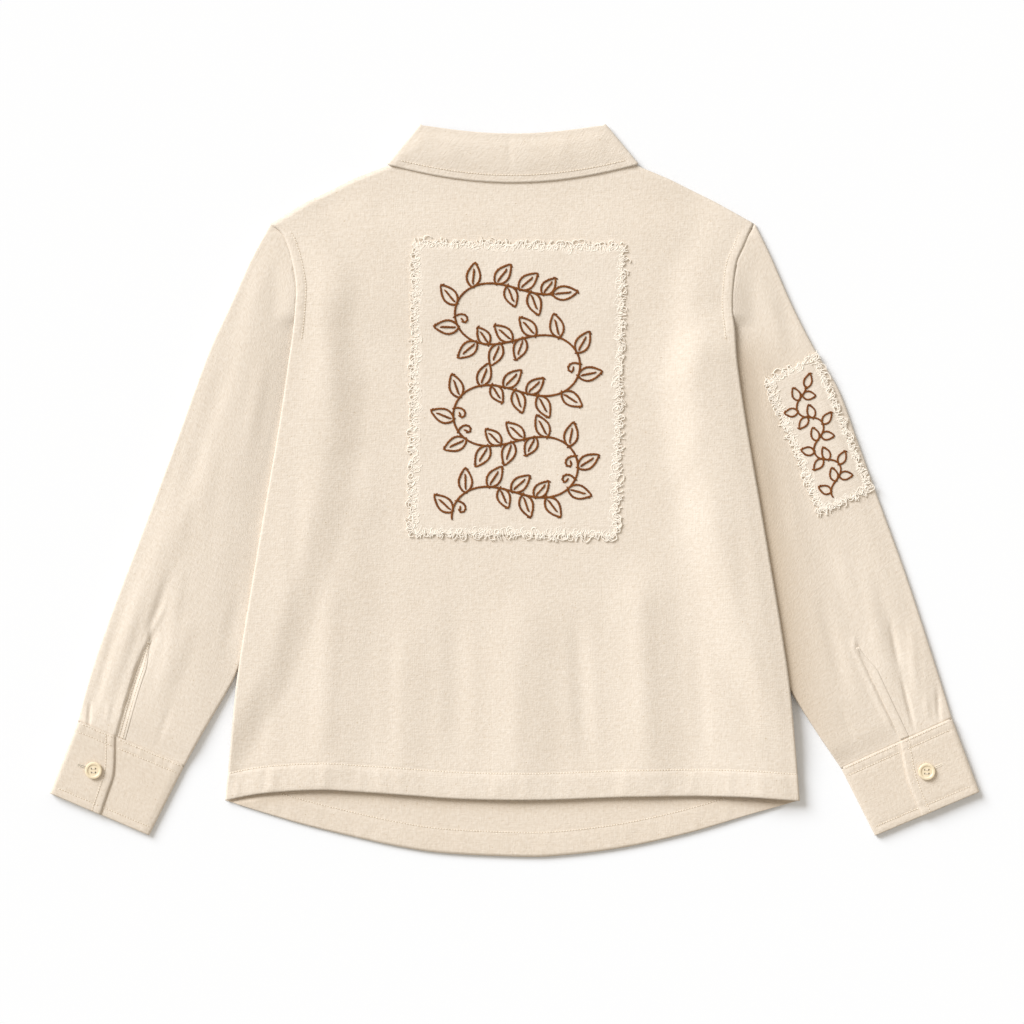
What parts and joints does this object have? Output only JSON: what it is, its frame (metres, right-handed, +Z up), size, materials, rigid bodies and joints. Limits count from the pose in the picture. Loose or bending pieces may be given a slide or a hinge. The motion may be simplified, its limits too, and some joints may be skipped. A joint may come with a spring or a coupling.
{
  "type": "embroidered shirt",
  "caption": "Loose canvas overshirt laid flat, back up, with a folded collar, buttoned cuffs, and a frayed embroidered patch on the back and on one sleeve.",
  "frame": {"origin": "on the surface that the shirt lies on, under the middle of its outline", "axes": "+X along the spread sleeves, to the right as seen from above with the collar away; +Y towards the collar; +Z up, out of the shirt's back"},
  "size_m": [0.9304, 0.7326, 0.0096],
  "materials": {
    "canvas": "undyed cotton and linen canvas, plain weave, matt",
    "patch_canvas": "the same canvas, cut raw, with brown thread embroidery",
    "frayed_edge": "loose undyed yarn ends",
    "button": "ivory, satin polish"
  },
  "bodies": {
    "root": {"back_panel": "canvas", "front_panel": "canvas", "sleeve_left": "canvas", "sleeve_right": "canvas", "cuff_left": "canvas", "cuff_right": "canvas", "placket_left": "canvas", "placket_right": "canvas", "collar_fall": "canvas", "collar_stand": "canvas", "back_patch": "patch_canvas", "sleeve_patch": "patch_canvas", "back_fringe_top": "frayed_edge", "back_fringe_right": "frayed_edge", "back_fringe_low": "frayed_edge", "back_fringe_left": "frayed_edge", "sleeve_fringe_top": "frayed_edge", "sleeve_fringe_right": "frayed_edge", "sleeve_fringe_low": "frayed_edge", "sleeve_fringe_left": "frayed_edge", "button_left": "button", "button_right": "button"}
  },
  "joints": []
}
